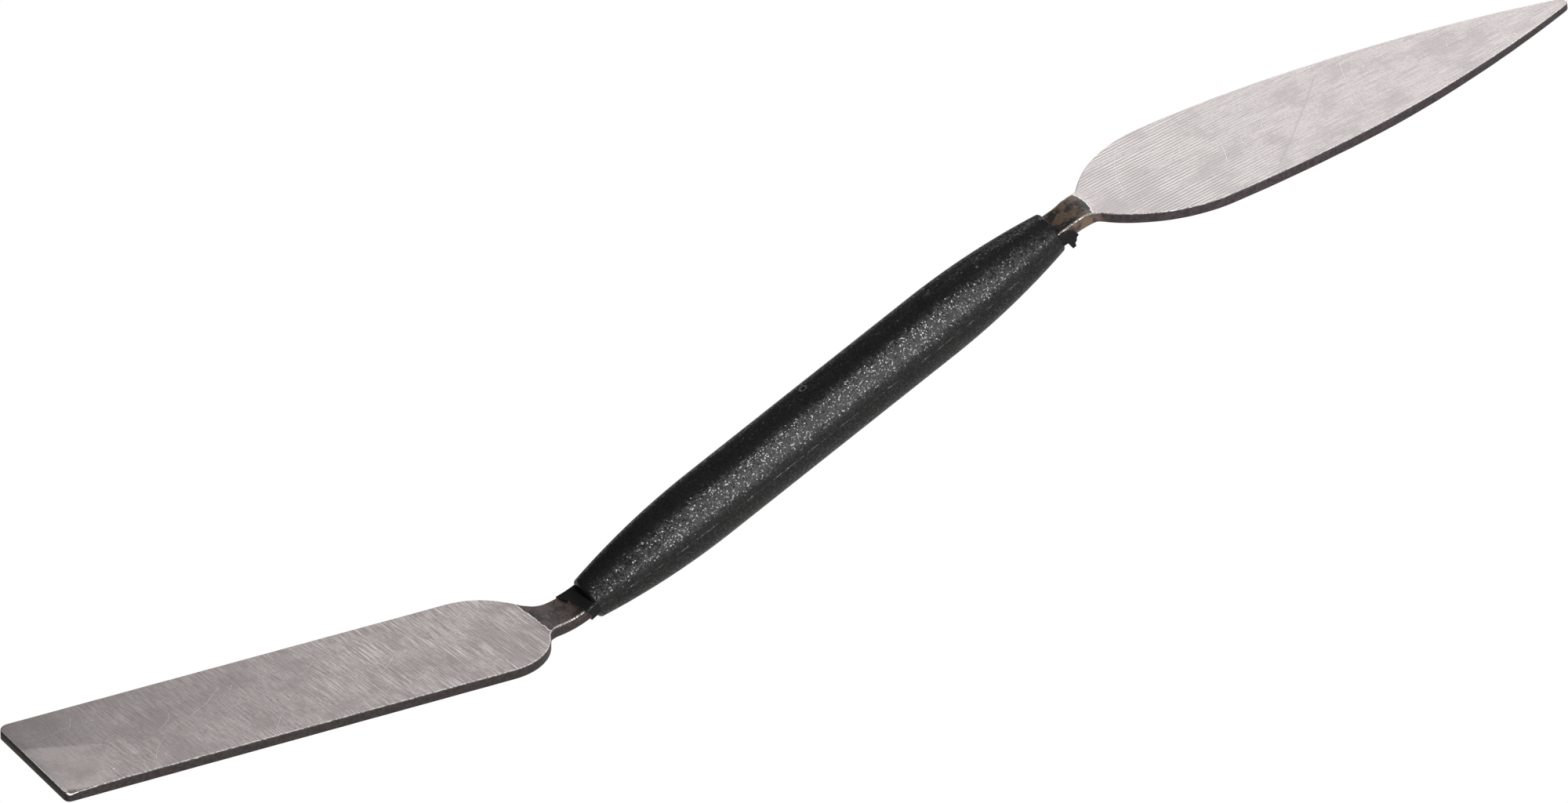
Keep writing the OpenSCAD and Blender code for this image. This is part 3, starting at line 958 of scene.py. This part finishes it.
def floor_material():
    """A pale floor that stays evenly white to the camera, glows as an even fill light for every other
    ray, and shows only from above.
    """
    shader = Shader("pale_floor")
    glow_settings = {"Color": GLOW_COLOR, "Strength": GLOW_STRENGTH}
    lighting = shader.node("ShaderNodeEmission", glow_settings).outputs[0]
    white = shader.node("ShaderNodeEmission", {"Color": WHITE, "Strength": 1.0}).outputs[0]
    clear = shader.node("ShaderNodeBsdfTransparent").outputs[0]
    camera_ray = shader.node("ShaderNodeLightPath").outputs["Is Camera Ray"]
    behind = shader.node("ShaderNodeNewGeometry").outputs["Backfacing"]
    seen = shader.node("ShaderNodeMixShader", {0: camera_ray, 1: lighting, 2: white}).outputs[0]
    return shader.end(shader.node("ShaderNodeMixShader", {0: behind, 1: seen, 2: clear}))


def build_floor():
    """A square floor below the palette knife."""
    z = CAD_BOX[0].z - FLOOR_DROP
    half = FLOOR_SIZE / 2
    mesh = bpy.data.meshes.new("floor")
    corners = [(-half, -half, z), (half, -half, z), (half, half, z), (-half, half, z)]
    mesh.from_pydata(corners, [], [(0, 1, 2, 3)])
    floor = bpy.data.objects.new("floor", mesh)
    bpy.context.scene.collection.objects.link(floor)
    floor.data.materials.append(floor_material())


def area_light(name, direction, distance, width, height, watts):
    """A soft box that faces the origin from a direction."""
    data = bpy.data.lights.new(name, "AREA")
    data.shape, data.size, data.size_y, data.energy = "RECTANGLE", width, height, watts
    lamp = bpy.data.objects.new(name, data)
    toward = Vector(direction).normalized()
    lamp.location = toward * distance
    lamp.rotation_mode = "QUATERNION"
    lamp.rotation_quaternion = toward.to_track_quat("Z", "Y")
    lamp.visible_camera = False
    bpy.context.scene.collection.objects.link(lamp)


def build_world(grey):
    """Even grey light from all round, and plain white where the camera sees past the floor."""
    world = bpy.data.worlds.new("studio")
    bpy.context.scene.world = world
    world.use_nodes = True
    tree = world.node_tree
    tree.nodes.clear()
    fill = tree.nodes.new("ShaderNodeBackground")
    fill.inputs["Color"].default_value = (grey, grey, grey, 1.0)
    white = tree.nodes.new("ShaderNodeBackground")
    white.inputs["Color"].default_value = (*WHITE, 1.0)
    path = tree.nodes.new("ShaderNodeLightPath")
    choose = tree.nodes.new("ShaderNodeMixShader")
    output = tree.nodes.new("ShaderNodeOutputWorld")
    tree.links.new(path.outputs["Is Camera Ray"], choose.inputs[0])
    tree.links.new(fill.outputs[0], choose.inputs[1])
    tree.links.new(white.outputs[0], choose.inputs[2])
    tree.links.new(choose.outputs[0], output.inputs["Surface"])


build_floor()
build_world(WORLD_GREY)
area_light("key_low", (0.16, -0.96, 0.24), distance=0.9, width=0.8, height=0.18, watts=4.2)
area_light("key_high", (0.18, -0.635, 0.745), distance=0.9, width=0.12, height=0.66, watts=3.8)
area_light("back_card", (0.68, 0.67, 0.32), distance=1.1, width=0.7, height=0.9, watts=2.85)


# ---------------------------------------------------------------- camera

AZIMUTH, ELEVATION, ROLL = math.radians(-13.323), math.radians(39.121), math.radians(-29.892)
CAMERA_DISTANCE = 1.7648
SENSOR, LENS = 36.0, 277.95     # millimetres
SHIFT_X, SHIFT_Y = -0.02327, 0.00833
CLIP_START, CLIP_END = 0.05, 20.0


def build_camera():
    """A long lens that looks at the handle's centre from the photograph's angle."""
    back = Vector((
        math.sin(AZIMUTH) * math.cos(ELEVATION), -math.cos(AZIMUTH) * math.cos(ELEVATION),
        math.sin(ELEVATION),
    ))
    level = Vector((math.cos(AZIMUTH), math.sin(AZIMUTH), 0.0))
    up = back.cross(level)
    right = level * math.cos(ROLL) + up * math.sin(ROLL)
    turned_up = up * math.cos(ROLL) - level * math.sin(ROLL)
    data = bpy.data.cameras.new("camera")
    data.sensor_width, data.lens = SENSOR, LENS
    data.shift_x, data.shift_y = SHIFT_X, SHIFT_Y
    data.clip_start, data.clip_end = CLIP_START, CLIP_END
    camera = bpy.data.objects.new("camera", data)
    turn = Matrix((right, turned_up, back)).transposed().to_4x4()
    camera.matrix_world = Matrix.Translation(back * CAMERA_DISTANCE) @ turn
    bpy.context.scene.collection.objects.link(camera)
    bpy.context.scene.camera = camera


build_camera()
bpy.context.scene.view_settings.view_transform = "Standard"
